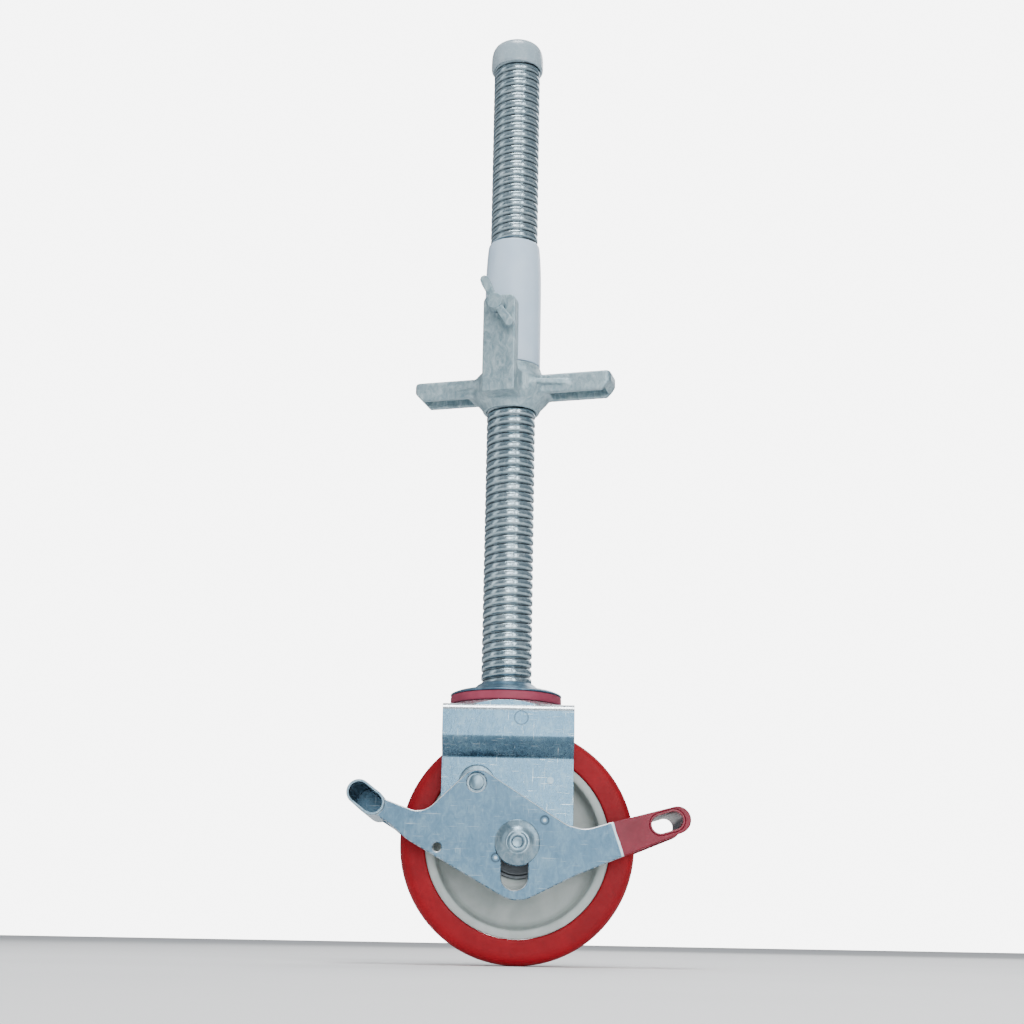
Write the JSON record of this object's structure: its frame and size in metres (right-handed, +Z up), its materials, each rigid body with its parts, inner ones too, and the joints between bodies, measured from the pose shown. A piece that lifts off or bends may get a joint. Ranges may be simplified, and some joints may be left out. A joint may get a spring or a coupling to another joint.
{
  "type": "levelling castor",
  "caption": "Scaffold levelling castor: threaded hollow stem with winged adjusting nut, swivel fork, polyurethane wheel and two-pedal side brake.",
  "frame": {"origin": "stem axis at the top of the adjusting nut's hub, where the leg sleeve stands", "axes": "+Z up along the stem, +X towards the red release pedal, -Y towards the front brake plate"},
  "size_m": [0.1813, 0.0763, 0.545],
  "materials": {
    "zinc_steel": "zinc plated, lightly scratched",
    "cast_zinc": "zinc plated, cast grain",
    "hard_steel": "ground",
    "white_plastic": "satin",
    "white_nylon": "satin",
    "red_tyre": "satin polyurethane",
    "red_seal": "matt",
    "red_paint": "semi-gloss",
    "black_rubber": "matt"
  },
  "bodies": {
    "leg_bush": {"leg_sleeve": "white_plastic"},
    "nut": {"adjusting_nut": "cast_zinc"},
    "clamp_screw": {"wing_screw_shank": "zinc_steel"},
    "clamp_wings": {"wing_screw_head": "cast_zinc"},
    "stem": {"stem_tube": "zinc_steel", "stem_end_cap": "white_plastic", "stem_foot": "zinc_steel", "swivel_cover": "zinc_steel", "dust_seal": "red_seal", "upper_race": "hard_steel", "lower_race": "hard_steel", "kingpin": "zinc_steel", "kingpin_nut": "zinc_steel"},
    "fork": {"fork": "zinc_steel", "cheek_pins": "zinc_steel", "upper_balls": "hard_steel", "lower_balls": "hard_steel", "axle_rivet": "zinc_steel", "dished_washers": "zinc_steel", "axle_bushes": "zinc_steel", "axle_sleeve": "zinc_steel", "bearing_inner_rings": "hard_steel", "pivot_rivets": "zinc_steel", "pivot_washers": "zinc_steel"},
    "wheel": {"tyre": "red_tyre", "wheel_core": "white_nylon", "bearing_outer_rings": "hard_steel", "bearing_balls": "hard_steel", "bearing_seals": "black_rubber"},
    "brake": {"brake_plate_front": "zinc_steel", "brake_plate_rear": "zinc_steel", "lock_pedal": "zinc_steel", "release_pedal": "red_paint", "brake_bar": "zinc_steel"}
  },
  "joints": [
    {"name": "stem_lift", "type": "slide", "parent": "leg_bush", "child": "stem", "axis": [0, 0, 1], "range_m": [-0.114, 0.15]},
    {"name": "nut_turn", "type": "hinge", "parent": "leg_bush", "child": "nut", "pos_m": [0, 0, -0.014], "axis": [0, 0, 1], "range_deg": [-8209, 10801]},
    {"name": "clamp_slide", "type": "slide", "parent": "nut", "child": "clamp_screw", "axis": [0.2588, 0.9659, 0], "range_m": [-0.004, 0.0035]},
    {"name": "clamp_turn", "type": "hinge", "parent": "clamp_screw", "child": "clamp_wings", "pos_m": [-0.00983, -0.03671, 0.026], "axis": [0.2588, 0.9659, 0], "range_deg": [-1441, 1261]},
    {"name": "fork_swivel", "type": "hinge", "parent": "stem", "child": "fork", "pos_m": [0, 0, -0.197], "axis": [0, 0, 1], "continuous": true},
    {"name": "wheel_spin", "type": "hinge", "parent": "fork", "child": "wheel", "pos_m": [0.0074, 0, -0.2725], "axis": [0, 1, 0], "continuous": true},
    {"name": "brake_press", "type": "hinge", "parent": "fork", "child": "brake", "pos_m": [-0.0146, 0, -0.2416], "axis": [0, -1, 0], "range_deg": [0, 6.2]}
  ],
  "couplings": [
    {"joint": "nut_turn", "follows": "stem_lift", "rad_per_m": 1256.6},
    {"joint": "clamp_turn", "follows": "clamp_slide", "rad_per_m": 6283.2}
  ]
}
